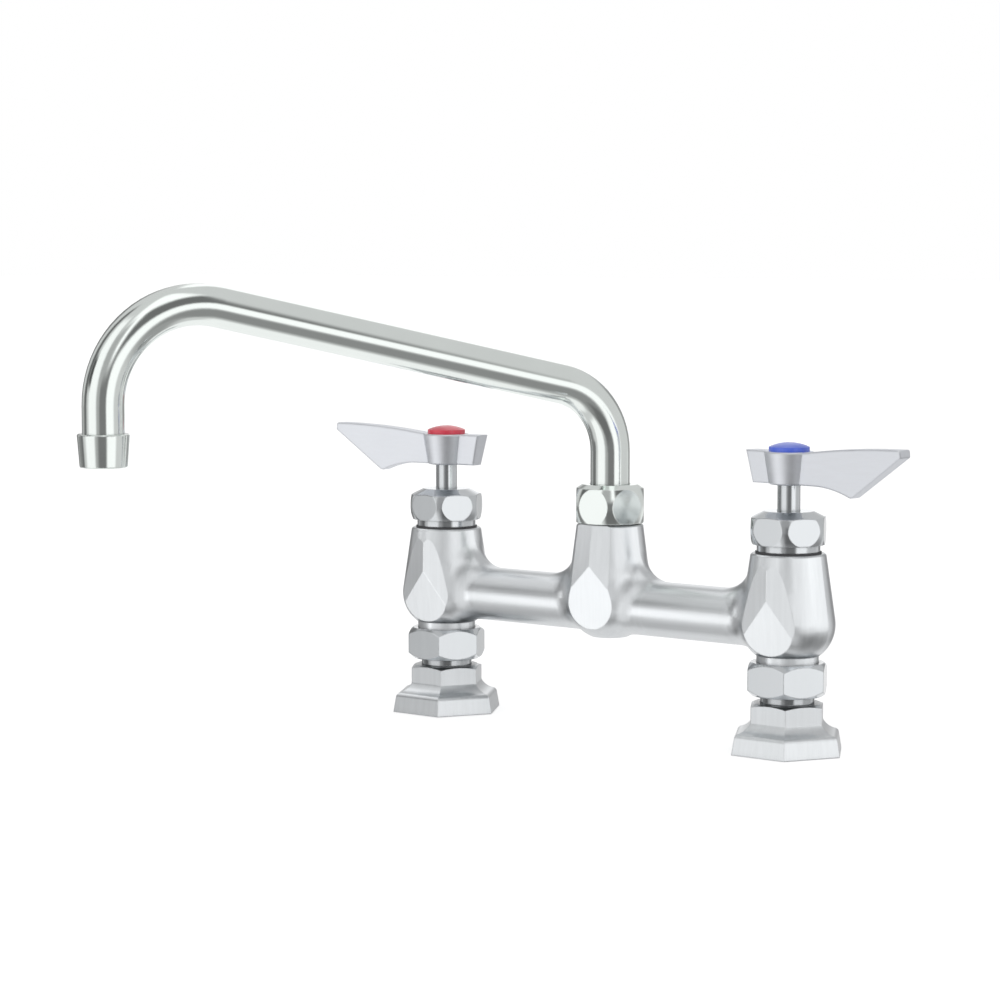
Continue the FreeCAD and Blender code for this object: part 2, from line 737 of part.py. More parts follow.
def moving_disc(label, x, turn):
    """Upper disc, driven by the stem's tang."""
    body = ceramic_disc(label, x, seat_level + s.seal_height + s.disc_height + s.running_clearance,
                        s.cartridge_chamber_radius - s.slip_clearance, along_x=True, turn=turn)
    slot = new_sketch(body, "XY_Plane", "slot", out=s.disc_height)
    half_width, half_length = s.disc_slot_width / 2, s.disc_slot_length / 2
    draw(slot, rectangle(-half_width, -half_length, half_width, half_length))
    extruded(body, "Pocket", "drive_slot", slot, s.disc_slot_depth)
    return body


def stem(label, x, turn):
    """Spindle from the moving disc up to the handle's square."""
    body = new_body(label, x, hub_bottom, turn)
    plate_bottom = -(s.stem_exposed + s.bonnet_plate)
    collar_top = plate_bottom - s.slip_clearance
    collar_bottom = collar_top - s.stem_collar_height
    chamber_top = seat_level + s.cartridge_lift + s.cartridge_chamber_height - hub_bottom
    disc_top = seat_level + s.seal_height + s.disc_height * 2 + s.running_clearance * 2 - hub_bottom
    shaft = s.stem_radius
    turned(body, "Revolution", "shaft", [
        (0, disc_top), (s.stem_tip_radius, disc_top), (s.stem_tip_radius, chamber_top), (shaft, chamber_top),
        (shaft, collar_bottom), (s.stem_collar_radius, collar_bottom), (s.stem_collar_radius, collar_top),
        (shaft, collar_top), (shaft, 0), (0, 0),
    ])
    side = s.stem_square / 2
    square = new_sketch(body, "XY_Plane", "square")
    draw(square, rectangle(-side, -side, side, side))
    extruded(body, "Pad", "drive_square", square, s.stem_square_length)
    half_width = s.disc_slot_width / 2 - s.running_clearance
    half_length = s.stem_tip_radius - s.running_clearance
    tang = new_sketch(body, "XY_Plane", "tang", out=disc_top)
    draw(tang, rectangle(-half_width, -half_length, half_width, half_length))
    extruded(body, "Pad", "drive_tang", tang, s.disc_slot_depth - s.running_clearance, backwards=True)
    groove = stem_groove_radius()
    half_groove = s.stem_groove_width / 2
    turned(body, "Groove", "oring_groove", rectangle(
        groove, -s.stem_oring_drop - half_groove, shaft + s.slip_clearance, half_groove - s.stem_oring_drop))
    hole = s.screw_radius + s.running_clearance
    depth = s.screw_length - s.hub_web + s.screw_run_out
    top = s.stem_square_length
    turned(body, "Groove", "tapped_hole", rectangle(0, top - depth, hole, top))
    return body


def stem_groove_radius():
    return s.stem_radius - s.stem_oring_section


def lever_handle(label, x, turn):
    """Wing handle: a tapered hub with a long blade on one side and a short stub on the other."""
    body = new_body(label, x, hub_bottom, turn)
    hub_top = s.hub_height
    tip_top = hub_top + s.blade_tip_rise
    low = -(s.blade_corner_drop + s.bar_overhang)
    high = tip_top + s.bar_overhang
    stub_half = (s.blade_stub_thickness - s.blade_draft) / 2
    tip_half = (s.blade_tip_thickness - s.blade_draft) / 2
    stub_end = -(s.stub_top_length + s.bar_overhang)
    tip_end = s.blade_length + s.bar_overhang
    plan = new_sketch(body, "XY_Plane", "plan", out=low)
    draw(plan, [(stub_end, -stub_half), (tip_end, -tip_half), (tip_end, tip_half), (stub_end, stub_half)])
    bar = extruded(body, "Pad", "bar", plan, high - low)
    doc.recompute()
    draft = body.newObject("PartDesign::Draft", "draft")
    draft.Base = (bar, broad_faces(bar.Shape))
    draft.NeutralPlane = (origin_part(body, "XY_Plane"), [""])
    draft.setExpression("Angle", angle_of(s.blade_draft / hub_top / 2).text)
    draft.Reversed = True

    clear = s.bar_overhang * 2
    corner = (s.blade_corner_out, -s.blade_corner_drop)
    tip_foot = (s.blade_length, tip_top - s.blade_tip_depth)
    tip_head = (s.blade_length - s.blade_tip_lean, tip_top)
    sweep = s.blade_corner_out - s.blade_flat_length
    under_radius = (sweep * sweep / s.blade_corner_drop + s.blade_corner_drop) / 2
    side = new_sketch(body, "XZ_Plane", "side_outline")
    draw(side, rectangle(stub_end - clear, low - clear, tip_end + clear, high + clear))
    draw(side, [
        (-s.stub_top_length, hub_top),
        (-s.stub_bottom_length, 0),
        (s.blade_flat_length, 0, -under_radius),
        corner,
        tip_foot,
        (*tip_head, s.blade_crown_radius),
        (s.hub_top_radius, hub_top),
    ])
    trimmed = extruded(body, "Pocket", "side_trim", side, symmetric=True)
    trimmed = rounded(body, "low_corner", trimmed, cross_edges, [corner], s.blade_corner_round)
    trimmed = rounded(body, "tip_corners", trimmed, cross_edges, [tip_foot, tip_head], s.blade_tip_round)
    rounded(body, "soft_edges", trimmed, broad_edges, broad_faces, s.blade_edge_round)

    edge = s.hub_edge
    turned(body, "Revolution", "hub", [
        (0, 0), (s.hub_bottom_radius - edge, 0), (s.hub_bottom_radius, edge),
        (s.hub_top_radius, hub_top - edge), (s.hub_top_radius - edge, hub_top), (0, hub_top),
    ])
    recess_floor = hub_top - s.hub_recess_depth
    socket_top = recess_floor - s.hub_web
    hole = s.screw_radius + s.slip_clearance
    turned(body, "Groove", "button_recess", [
        (0, socket_top), (hole, socket_top), (hole, recess_floor), (s.hub_recess_radius, recess_floor),
        (s.hub_recess_radius, hub_top + s.blade_tip_rise), (0, hub_top + s.blade_tip_rise),
    ])
    half = s.stem_square / 2 + s.thread_clearance
    socket = new_sketch(body, "XY_Plane", "socket")
    draw(socket, rectangle(-half, -half, half, half))
    extruded(body, "Pocket", "stem_socket", socket, socket_top, backwards=True)
    return body


def broad_faces(shape):
    """Names of the bar's two broad faces."""
    names = []
    for number, face in enumerate(shape.Faces, start=1):
        if isinstance(face.Surface, Part.Plane) and abs(face.normalAt(0, 0).y) > FACES_THAT_WAY:
            names.append(f"Face{number}")
    return names


def broad_edges(shape, faces_of):
    """Names of all edges round the faces that are picked from the shape."""
    sides = [side for name in faces_of(shape) for side in shape.getElement(name).Edges]
    return [f"Edge{number}" for number, edge in enumerate(shape.Edges, start=1)
            if any(edge.isSame(side) for side in sides)]


def cross_edges(shape, corners):
    """Names of the edges that run across the blade at these corners of its side outline."""
    names = []
    for number, edge in enumerate(shape.Edges, start=1):
        middle = edge.CenterOfMass
        for x, z in corners:
            if math.hypot(middle.x - x.value, middle.z - z.value) < SAME_PLACE:
                names.append(f"Edge{number}")
    return names


def rounded(body, name, base, pick, places, radius):
    """Rounds the edges of a finished feature that are picked at some places on it."""
    doc.recompute()
    feature = body.newObject("PartDesign::Fillet", name)
    feature.Base = (base, pick(base.Shape, places))
    feature.setExpression("Radius", radius.text)
    return feature


def handle_screw(label, x):
    """Cap screw that holds the handle on the stem's square."""
    body = new_body(label, x, hub_bottom + s.hub_height - s.hub_recess_depth)
    turned(body, "Revolution", "screw", [
        (0, -s.screw_length), (s.screw_radius, -s.screw_length), (s.screw_radius, 0),
        (s.screw_head_radius, 0), (s.screw_head_radius, s.screw_head_height), (0, s.screw_head_height),
    ])
    return body


def index_button(label, x):
    """Domed colour button pressed into the hub."""
    body = new_body(label, x, hub_bottom + s.hub_height)
    plug = s.hub_recess_radius - s.thread_clearance
    dome = s.button_height - s.button_rim
    dome_radius = (s.button_radius * s.button_radius / dome + dome) / 2
    turned(body, "Revolution", "button", [
        (0, -s.button_plug_length), (plug, -s.button_plug_length), (plug, 0), (s.button_radius, 0),
        (s.button_radius, s.button_rim, dome_radius), (0, s.button_height),
    ])
    return body


def spout_nut(label):
    """Hexagonal retaining nut over the swivel, on the post's thread."""
    body = new_body(label, z=spout_nut_bottom)
    height = s.spout_nut_height
    shoulder = height - s.spout_nut_crown_height
    lip = height - s.spout_nut_lip
    thread = s.post_thread_radius + s.thread_clearance
    mouth = s.spout_radius + s.slip_clearance
    round_side = s.spout_nut_barrel_round
    turned(body, "Revolution", "blank", [
        (thread, 0), (s.spout_nut_base_radius, 0, round_side),
        (s.spout_nut_waist_radius, shoulder / 2, round_side),
        (s.spout_nut_shoulder_radius, shoulder), (s.spout_nut_crown_radius, height), (mouth, height),
        (mouth, lip), (thread, lip),
    ])
    cut_hex_flats(body, s.spout_nut_flats, s.spout_nut_twist, s.spout_nut_waist_radius)
    return body


def swivel_groove_radius():
    return s.spout_radius + s.thread_clearance + s.swivel_wall


def spout_swivel(label):
    """Brass sleeve brazed on the tube, which turns in the post on two seals."""
    body = new_body(label, z=swivel_seat)
    bore = s.spout_radius + s.thread_clearance
    turned(body, "Revolution", "sleeve", [
        (bore, -s.swivel_length), (s.swivel_radius, -s.swivel_length), (s.swivel_radius, 0),
        (s.swivel_flange_radius, 0), (s.swivel_flange_radius, s.swivel_flange), (bore, s.swivel_flange),
    ])
    for name, drop in swivel_seals():
        half = s.swivel_groove_width / 2
        turned(body, "Groove", f"{name}_groove", rectangle(
            swivel_groove_radius(), -drop - half, s.swivel_radius + s.slip_clearance, half - drop))
    return body


def swivel_seals():
    """Name and depth below the flange of each seal on the swivel."""
    return (("upper", s.swivel_oring_step), ("lower", s.swivel_oring_step * 2))


def spout_turn():
    """Turn of the spout's own plane, which is drawn along +X, to where the spout rests."""
    return -(s.spout_swing + FULL_TURN / 4)


def spout_bends():
    """Both ends of the spout's two bends, each as its distance out from the post and its height."""
    rise = s.spout_rise
    start = (as_dim(0), spout_nut_top + s.spout_riser)
    run_start = (s.spout_post_bend * (1 - sin_of(rise)), start[1] + s.spout_post_bend * cos_of(rise))
    run_length = s.spout_reach - s.spout_outlet_bend * (1 + sin_of(rise)) - run_start[0]
    run_end = (run_start[0] + run_length, run_start[1] + run_length * tan_of(rise))
    finish = (s.spout_reach, run_end[1] - s.spout_outlet_bend * cos_of(rise))
    return start, run_start, run_end, finish


def outlet_foot():
    """Height of the spout's mouth above the deck."""
    return spout_bends()[-1][1] - s.spout_drop


def tube_end_rise():
    """Height of the tube's cut end above the collar's mouth."""
    return s.collar_lip + s.aerator_height + s.aerator_washer_thickness


def spout_tube(label):
    """Bent tube: up from the swivel, out at a slight rise, and over to point straight down."""
    body = new_body(label, turn=spout_turn())
    foot = swivel_seat - s.swivel_length
    start, run_start, run_end, finish = spout_bends()
    path = new_sketch(body, "XZ_Plane", "path")
    draw(path, [
        (0, foot), (*start, -s.spout_post_bend), run_start, (*run_end, -s.spout_outlet_bend), finish,
        (s.spout_reach, outlet_foot() + tube_end_rise()),
    ], closed=False)
    section = new_sketch(body, "XY_Plane", "section", out=foot)
    draw_circle(section, s.spout_radius)
    draw_circle(section, s.spout_radius - s.spout_wall)
    tube = body.newObject("PartDesign::AdditivePipe", "tube")
    tube.Profile = section
    tube.Spine = (path, [f"Edge{number}" for number in range(1, 6)])
    return body


def at_outlet(label, rise):
    """A sub-part on the spout's outlet axis, at a height above its mouth."""
    return new_body(label, z=outlet_foot() + rise, turn=spout_turn())


def outlet_collar(label):
    """Tapered collar on the tube's end, which holds the flow straightener."""
    body = at_outlet(label, as_dim(0))
    seat = s.spout_radius + s.thread_clearance
    top = s.collar_height
    edge = s.collar_edge
    turned(body, "Revolution", "collar", [
        (s.collar_mouth_radius, 0), (s.collar_bottom_radius - edge, 0), (s.collar_bottom_radius, edge),
        (s.collar_top_radius, top - edge), (s.collar_top_radius - edge, top), (seat, top),
        (seat, s.collar_lip), (s.collar_mouth_radius, s.collar_lip),
    ], across=s.spout_reach)
    return body


def aerator_insert(label):
    """Perforated flow straightener in the collar."""
    body = at_outlet(label, s.collar_lip)
    outline = rectangle(0, 0, s.spout_radius, s.aerator_height)
    turned(body, "Revolution", "disc", outline, across=s.spout_reach)
    rings = (("inner", s.aerator_inner_ring, HEX), ("outer", s.aerator_outer_ring, HEX * 2))
    for name, radius, count in rings:
        sketch = new_sketch(body, "XY_Plane", f"{name}_holes", across=s.spout_reach)
        for k in range(count):
            turn = as_dim(FULL_TURN / count * k)
            draw_circle(sketch, s.aerator_hole_radius, radius * cos_of(turn), radius * sin_of(turn))
        extruded(body, "Pocket", f"{name}_perforation", sketch, symmetric=True)
    return body


def aerator_washer(label):
    """Rubber washer between the tube's end and the flow straightener."""
    body = at_outlet(label, s.collar_lip + s.aerator_height)
    turned(body, "Revolution", "ring", rectangle(
        s.aerator_washer_bore_radius, 0, s.spout_radius, s.aerator_washer_thickness), across=s.spout_reach)
    return body


def build_inlet(side, x):
    """Everything between the deck and the casting on one side."""
    return [
        base_flange(f"{side}_base_flange", x),
        tailpiece(f"{side}_tailpiece", x),
        coupling_nut(f"{side}_coupling_nut", x),
        ring(f"{side}_union_washer", s.union_washer_bore_radius, s.tail_flange_radius,
             s.union_washer_thickness, x, union_washer_bottom),
    ]


def build_valve(side, x):
    """The fixed pieces of one valve."""
    disc = s.cartridge_chamber_radius - s.thread_clearance
    groove = s.pocket_radius - s.cartridge_oring_section - s.running_clearance
    seal_level = seat_level + s.cartridge_oring_height
    return [
        bonnet(f"{side}_bonnet", x),
        ring(f"{side}_bonnet_washer", s.bonnet_thread_radius, s.bonnet_washer_radius,
             s.bonnet_washer_thickness, x, barrel_top),
        cartridge_body(f"{side}_cartridge_body", x),
        oring(f"{side}_cartridge_oring", groove, s.cartridge_oring_section, x, seal_level),
        ring(f"{side}_seat_seal", s.seal_bore_radius, disc, s.seal_height, x, seat_level),
        ceramic_disc(f"{side}_fixed_disc", x, seat_level + s.seal_height, disc, along_x=False),
    ]


def build_handle(side, x, turn):
    """The pieces that turn with one handle."""
    return [
        stem(f"{side}_stem", x, turn),
        moving_disc(f"{side}_moving_disc", x, turn),
        oring(f"{side}_stem_oring", stem_groove_radius(), s.stem_oring_section - s.running_clearance,
              x, hub_bottom - s.stem_oring_drop),
        lever_handle(f"{side}_lever_handle", x, turn),
        handle_screw(f"{side}_handle_screw", x),
        index_button(f"{side}_index_button", x),
    ]


def build_spout():
    """The pieces that swing with the spout."""
    pieces = [
        spout_tube("spout_tube"),
        spout_swivel("spout_swivel"),
        ring("spout_thrust_washer", s.spout_radius + s.slip_clearance, s.swivel_flange_radius,
             s.thrust_washer_thickness, z=swivel_flange_top),
        outlet_collar("outlet_collar"),
        aerator_insert("aerator_insert"),
        aerator_washer("aerator_washer"),
    ]
    for name, drop in swivel_seals():
        pieces.append(oring(
            f"spout_oring_{name}", swivel_groove_radius(), s.swivel_oring_section, z=swivel_seat - drop))
    return pieces


def check(pieces):
    """Stops if any feature failed, added or cut nothing, or if any piece isn't one sound solid."""
    for item in doc.Objects:
        if "Invalid" in item.State or "Error" in item.State:
            raise RuntimeError(f"{item.Label} failed: {item.State}")
        base = getattr(item, "BaseFeature", None)
        if base and not item.isDerivedFrom("PartDesign::Body"):
            gained = item.Shape.Volume - base.Shape.Volume
            if item.TypeId in CUTS and gained > -NO_VOLUME or item.TypeId in ADDITIONS and gained < NO_VOLUME:
                raise RuntimeError(f"{item.Label} in {base.Label} changed the volume by {gained}")
            if not item.Shape.isValid():
                raise RuntimeError(f"{item.Label} isn't sound")
    for piece in pieces:
        shape = piece.Shape
        if shape.isNull() or not shape.isValid() or len(shape.Solids) != 1:
            raise RuntimeError(f"{piece.Label} isn't one sound solid")


pieces = [faucet_body("faucet_body"), spout_nut("spout_nut")]
for side, x, turn in (("hot", -half_spacing, s.handle_rest_turn + FULL_TURN / 2),
                      ("cold", half_spacing, -s.handle_rest_turn)):
    pieces += build_inlet(side, x)
    pieces += build_valve(side, x)
    pieces += build_handle(side, x, turn)
pieces += build_spout()
doc.recompute()
check(pieces)

os.makedirs("parts", exist_ok=True)
for piece in pieces:
    piece.Shape.exportStep(f"parts/{piece.Label}.step")
print(len(pieces), "pieces written")
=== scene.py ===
import json
import math

import bpy
from mathutils import Matrix, Vector


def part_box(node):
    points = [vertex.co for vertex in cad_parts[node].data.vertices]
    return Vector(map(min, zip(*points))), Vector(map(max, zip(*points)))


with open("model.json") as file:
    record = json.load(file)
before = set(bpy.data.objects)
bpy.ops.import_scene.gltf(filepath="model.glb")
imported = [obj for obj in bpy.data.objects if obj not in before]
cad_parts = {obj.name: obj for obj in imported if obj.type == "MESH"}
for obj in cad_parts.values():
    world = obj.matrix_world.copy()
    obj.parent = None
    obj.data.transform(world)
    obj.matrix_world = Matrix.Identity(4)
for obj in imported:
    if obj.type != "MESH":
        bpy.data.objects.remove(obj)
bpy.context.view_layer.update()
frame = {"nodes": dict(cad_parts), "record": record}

# Camera: the photograph's viewpoint, in degrees round the part and metres from the point that it aims at.
# That point lies to the right of the part's origin and above it by these metres, as the camera sees it.
VIEW_AZIMUTH = 38.159
VIEW_ELEVATION = 5.008
VIEW_DISTANCE = 1.4178
AIM_RIGHT = -0.05298
AIM_UP = 0.11095
LENS = 105.27
SENSOR = 36.0
FARTHEST_SEEN = 100.0

# Floor and backdrop
FLOOR_SIZE = 30.0
FLOOR_DROP = 0.0002
FLOOR_COLOUR = (0.92, 0.92, 0.92)
FLOOR_GLOW = 0.50
BACKDROP = (1.0, 1.0, 1.0)

# The studio round the part, in degrees from the photograph's viewpoint: to its right, and above the horizon.
# Each panel has its middle and half its width to the right, its middle and half its height above, the width
# of its soft edge and its brightness. A later panel covers an earlier one.
HALF_TURN = 180.0
ROOM = 0.63
PANELS = (
    ("white backdrop behind", 180.0, 62.0, -43.0, 37.0, 9.0, 0.95),
    ("white overhead", 22.0, 34.0, 66.0, 20.0, 8.0, 1.10),
    ("grey beside the camera", -16.0, 17.0, 10.0, 34.0, 8.0, 0.42),
    ("white strip by the camera", 8.0, 6.0, 38.0, 22.0, 5.0, 1.15),
    ("dark doorway", 36.0, 21.0, 25.0, 20.0, 6.0, 0.16),
    ("floor in front", 30.0, 50.0, -42.0, 22.0, 9.0, 0.27),
    ("floor by the camera", 4.0, 21.0, -27.0, 20.0, 7.0, 0.16),
    ("floor on the right", 98.0, 26.0, -36.0, 14.0, 8.0, 0.34),
    ("white table edge", 42.0, 22.0, -4.0, 13.0, 5.0, 1.08),
    ("left softbox", -55.0, 23.0, 2.0, 58.0, 5.0, 1.02),
    ("left flag", -105.0, 11.0, 22.0, 42.0, 6.0, 0.13),
    ("left flag's arm", -84.0, 10.0, 19.0, 10.0, 4.0, 0.08),
    ("left flag's foot", -120.0, 15.0, -22.0, 20.0, 8.0, 0.22),
    ("white floor under the part", 0.0, 190.0, -87.0, 15.0, 5.0, 0.95),
    ("dark beside the lens", 4.0, 18.0, -2.0, 12.0, 5.0, 0.20),
    ("right flag", 143.0, 13.0, 0.0, 24.0, 6.0, 0.30),
    ("white strip behind", 176.0, 9.0, 24.0, 40.0, 5.0, 1.12),
    ("back flag", 208.0, 13.0, 6.0, 26.0, 6.0, 0.22),
)

# Softboxes that only one piece or the pieces of one finish see: that piece or finish, the middles and half
# sizes in degrees as above, and the brightness
SOFTBOX_DISTANCE = 1.5
SOFTBOXES = (
    ("front softbox", "satin_chrome", 36.0, 24.0, 22.0, 18.0, 0.72),
    ("right softbox", "satin_chrome", 85.0, 25.0, 15.0, 25.0, 0.70),
    ("fill by the camera", "satin_chrome", -8.0, 28.0, -3.0, 30.0, 0.42),
    ("fill under the camera", "satin_chrome", 8.0, 18.0, -36.0, 14.0, 0.50),
    ("left strip", "faucet_body", -74.5, 7.0, -8.0, 14.0, 0.98),
    ("post strip", "faucet_body", -97.0, 10.0, 15.0, 7.0, 1.20),
    ("far left fill", "faucet_body", -106.0, 11.0, -4.0, 16.0, 0.25),
    ("cold base softbox", "cold_base_flange", -85.0, 25.0, 12.0, 18.0, 0.36),
    ("upper left softbox", "satin_chrome", -120.0, 22.0, 50.0, 15.0, 0.65),
    ("nut softbox", "polished_chrome", 45.0, 28.0, 4.0, 8.0, 0.12),
    ("spout nut softbox", "spout_nut", 60.0, 14.0, -5.0, 20.0, 0.26),
    ("blade softbox", "handle_chrome", -85.0, 28.0, 0.0, 26.0, 0.30),
)

# Most of a noise texture lies between these values
NOISE_LOW = 0.3
NOISE_HIGH = 0.7

# Sharp edges of the metal look softened by polishing, by this radius in metres
EDGE_RADIUS = 0.0007
EDGE_SAMPLES = 4

# Dull patches and polishing waves on the metal: how many to the metre, and the patches' darkest shade
BLOOM_SCALE = 60.0
BLOOM_SHADE = 0.98
WAVE_SCALE = 90.0

# Painted shade darkens the colour in crevices and gaps no wider than about this, in metres. It is full where
# the free share of the view out is the closed value or less, and none where it is the open value or more.
CREVICE_REACH = 0.008
CREVICE_CLOSED = 0.15
CREVICE_OPEN = 0.60
CREVICE_SHADE = 0.30
CREVICE_SAMPLES = 6

# The valves' distance from the post, and how far from the upright axes the brush turns to follow the bridge
VALVE_OFFSET = -(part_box("hot_base_flange")[0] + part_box("hot_base_flange")[1]).x / 2
UPRIGHT_REACH = 0.026
TURN_REACH = 0.032

# Each plated finish: its tint, its roughness where polished and where dull, its brush marks to the metre
# along X, Y and Z, the marks' depth and the waves' depth in metres, and the marks' darkest shade
METALS = {
    "satin_chrome": ((0.705, 0.726, 0.742), 0.28, 0.32, (380, 380, 14), 5e-6, 2e-6, 0.94),
    "polished_chrome": ((0.707, 0.732, 0.752), 0.11, 0.17, (500, 500, 60), 4e-7, 3e-6, 0.98),
    "spout_chrome": ((0.905, 0.95, 0.925), 0.08, 0.13, (40, 40, 500), 4e-7, 3e-6, 0.99),
    "handle_chrome": ((0.85, 0.87, 0.91), 0.48, 0.54, (60, 500, 500), 5e-7, 3e-6, 0.97),
    "inner_brass": ((0.74, 0.58, 0.30), 0.24, 0.36, (400, 400, 400), 2e-6, 4e-6, 0.95),
}

# Moulded plastic: the flow mottle's shade and the share by which it changes the roughness, the clear coat's
# roughness, and the orange peel
FLOW_SCALE = 220.0
FLOW_SHADE = 0.93
FLOW_DULLING = 0.15
COAT_ROUGHNESS = 0.06
PEEL_SCALE = 1400.0
PEEL_DEPTH = 0.00002
PEEL_STRENGTH = 0.3

# Each moulded finish: its colour, its roughness and the weight of its clear coat
PLASTICS = {
    "seal_rubber": ((0.09, 0.09, 0.095), 0.6, 0.0),
    "valve_ceramic": ((0.86, 0.83, 0.77), 0.3, 0.2),
    "white_plastic": ((0.83, 0.83, 0.80), 0.42, 0.0),
    "hot_red": ((0.84, 0.055, 0.10), 0.34, 0.4),
    "cold_blue": ((0.10, 0.18, 0.86), 0.34, 0.4),
}


class Graph:
    """A node tree with short calls for the nodes that the materials and the studio need."""

    def __init__(self, tree):
        self.tree = tree
        tree.nodes.clear()

    def node(self, kind, **settings):
        made = self.tree.nodes.new(kind)
        for name, value in settings.items():
            setattr(made, name, value)
        return made

    def feed(self, socket, value):
        if isinstance(value, bpy.types.NodeSocket):
            self.tree.links.new(value, socket)
        else:
            socket.default_value = value

    def math(self, operation, *values):
        made = self.node("ShaderNodeMath", operation=operation)
        for socket, given in zip(made.inputs, values):
            self.feed(socket, given)
        return made.outputs[0]

    def ramp(self, value, low, high, out_low, out_high):
        made = self.node("ShaderNodeMapRange", interpolation_type="SMOOTHSTEP")
        for socket, given in zip(made.inputs, (value, low, high, out_low, out_high)):
            self.feed(socket, given)
        return made.outputs[0]

    def mix(self, share, first, second, blend="MIX"):
        # Sockets 6 and 7 of this node take colours, and its output 2 gives one
        made = self.node("ShaderNodeMix", data_type="RGBA", blend_type=blend)
        self.feed(made.inputs[0], share)
        self.feed(made.inputs[6], first)
        self.feed(made.inputs[7], second)
        return made.outputs[2]

    def noise(self, vector, scale, detail, roughness=0.5):
        made = self.node("ShaderNodeTexNoise")
        self.feed(made.inputs["Vector"], vector)
        made.inputs["Scale"].default_value = scale
        made.inputs["Detail"].default_value = detail
        made.inputs["Roughness"].default_value = roughness
        return made.outputs["Fac"]

    def stretched(self, vector, scale):
        made = self.node("ShaderNodeMapping")
        self.feed(made.inputs["Vector"], vector)
        made.inputs["Scale"].default_value = scale
        return made.outputs["Vector"]

    def bump(self, height, depth, normal=None, strength=1.0):
        made = self.node("ShaderNodeBump")
        made.inputs["Strength"].default_value = strength
        made.inputs["Distance"].default_value = depth
        self.feed(made.inputs["Height"], height)
        if normal is not None:
            self.feed(made.inputs["Normal"], normal)
        return made.outputs[0]


def grey(value):
    return (value, value, value, 1.0)


def direction(azimuth, elevation):
    """The way out from the part, in degrees to the right of its front and above the horizon."""
    across = math.radians(azimuth)
    above = math.radians(elevation)
    level = Vector((math.sin(across), -math.cos(across), 0.0))
    return level * math.cos(above) + Vector((0.0, 0.0, math.sin(above)))


def make_camera():
    azimuth = math.radians(VIEW_AZIMUTH)
    right = Vector((math.cos(azimuth), math.sin(azimuth), 0.0))
    back = direction(VIEW_AZIMUTH, VIEW_ELEVATION)
    up = back.cross(right)
    data = bpy.data.cameras.new("camera")
    data.lens = LENS
    data.sensor_width = SENSOR
    data.clip_end = FARTHEST_SEEN
    camera = bpy.data.objects.new("camera", data)
    turn = Matrix((right, up, back)).transposed().to_4x4()
    aim = right * AIM_RIGHT + up * AIM_UP
    camera.matrix_world = Matrix.Translation(aim + back * VIEW_DISTANCE) @ turn
    bpy.context.scene.collection.objects.link(camera)
    bpy.context.scene.camera = camera


def make_studio():
    """A soft studio as a world: a plain backdrop to the camera, panels of light to everything else."""
    world = bpy.data.worlds.new("studio")
    bpy.context.scene.world = world
    world.use_nodes = True
    graph = Graph(world.node_tree)
    place = graph.node("ShaderNodeTexCoord").outputs["Generated"]
    turned = graph.node("ShaderNodeVectorRotate", rotation_type="Z_AXIS")
    graph.feed(turned.inputs["Vector"], place)
    turned.inputs["Angle"].default_value = -math.radians(VIEW_AZIMUTH)
    parts = graph.node("ShaderNodeSeparateXYZ")
    graph.feed(parts.inputs[0], turned.outputs[0])
    back = graph.math("MULTIPLY", parts.outputs[1], -1.0)
    across = graph.math("DEGREES", graph.math("ARCTAN2", parts.outputs[0], back))
    above = graph.math("DEGREES", graph.math("ARCSINE", parts.outputs[2]))

    colour = grey(ROOM)
    for _, middle, half_width, height, half_height, soft, level in PANELS:
        off = graph.math("WRAP", graph.math("SUBTRACT", across, middle), HALF_TURN, -HALF_TURN)
        side = graph.ramp(graph.math("ABSOLUTE", off), half_width - soft, half_width + soft, 1.0, 0.0)
        rise = graph.math("ABSOLUTE", graph.math("SUBTRACT", above, height))
        ends = graph.ramp(rise, half_height - soft, half_height + soft, 1.0, 0.0)
        colour = graph.mix(graph.math("MULTIPLY", side, ends), colour, grey(level))

    seen = graph.node("ShaderNodeLightPath").outputs["Is Camera Ray"]
    background = graph.node("ShaderNodeBackground")
    graph.feed(background.inputs["Color"], graph.mix(seen, colour, (*BACKDROP, 1.0)))
    output = graph.node("ShaderNodeOutputWorld")
    graph.feed(output.inputs["Surface"], background.outputs[0])


def make_softboxes():
    """Large soft lights round the part. Only a light's own piece, or the pieces of its finish, see it."""
    targets = {target for _, target, *_ in SOFTBOXES}
    lit = {target: bpy.data.collections.new(f"{target}_lit") for target in sorted(targets)}
    for part in frame["record"]["subparts"]:
        for target in lit:
            if target in (part["node"], part["material_slot"]):
                lit[target].objects.link(frame["nodes"][part["node"]])
    for name, target, middle, half_width, height, half_height, level in SOFTBOXES:
        away = direction(VIEW_AZIMUTH + middle, height)
        data = bpy.data.lights.new(name, "AREA")
        data.shape = "RECTANGLE"
        data.size = 2 * SOFTBOX_DISTANCE * math.tan(math.radians(half_width))
        data.size_y = 2 * SOFTBOX_DISTANCE * math.tan(math.radians(half_height))
        data.energy = level * math.pi * data.size * data.size_y
        light = bpy.data.objects.new(name, data)
        light.location = away * SOFTBOX_DISTANCE
        light.rotation_euler = away.to_track_quat("Z", "Y").to_euler()
        bpy.context.scene.collection.objects.link(light)
        # Other pieces neither take this light nor shade the pieces that do
        light.light_linking.receiver_collection = lit[target]
        light.light_linking.blocker_collection = lit[target]


def new_material(name):
    """A material, the graph that feeds it and its one shader."""
    material = bpy.data.materials.new(name)
    material.use_nodes = True
    graph = Graph(material.node_tree)
    shader = graph.node("ShaderNodeBsdfPrincipled")
    output = graph.node("ShaderNodeOutputMaterial")
    graph.feed(output.inputs["Surface"], shader.outputs[0])
    return material, graph, shader


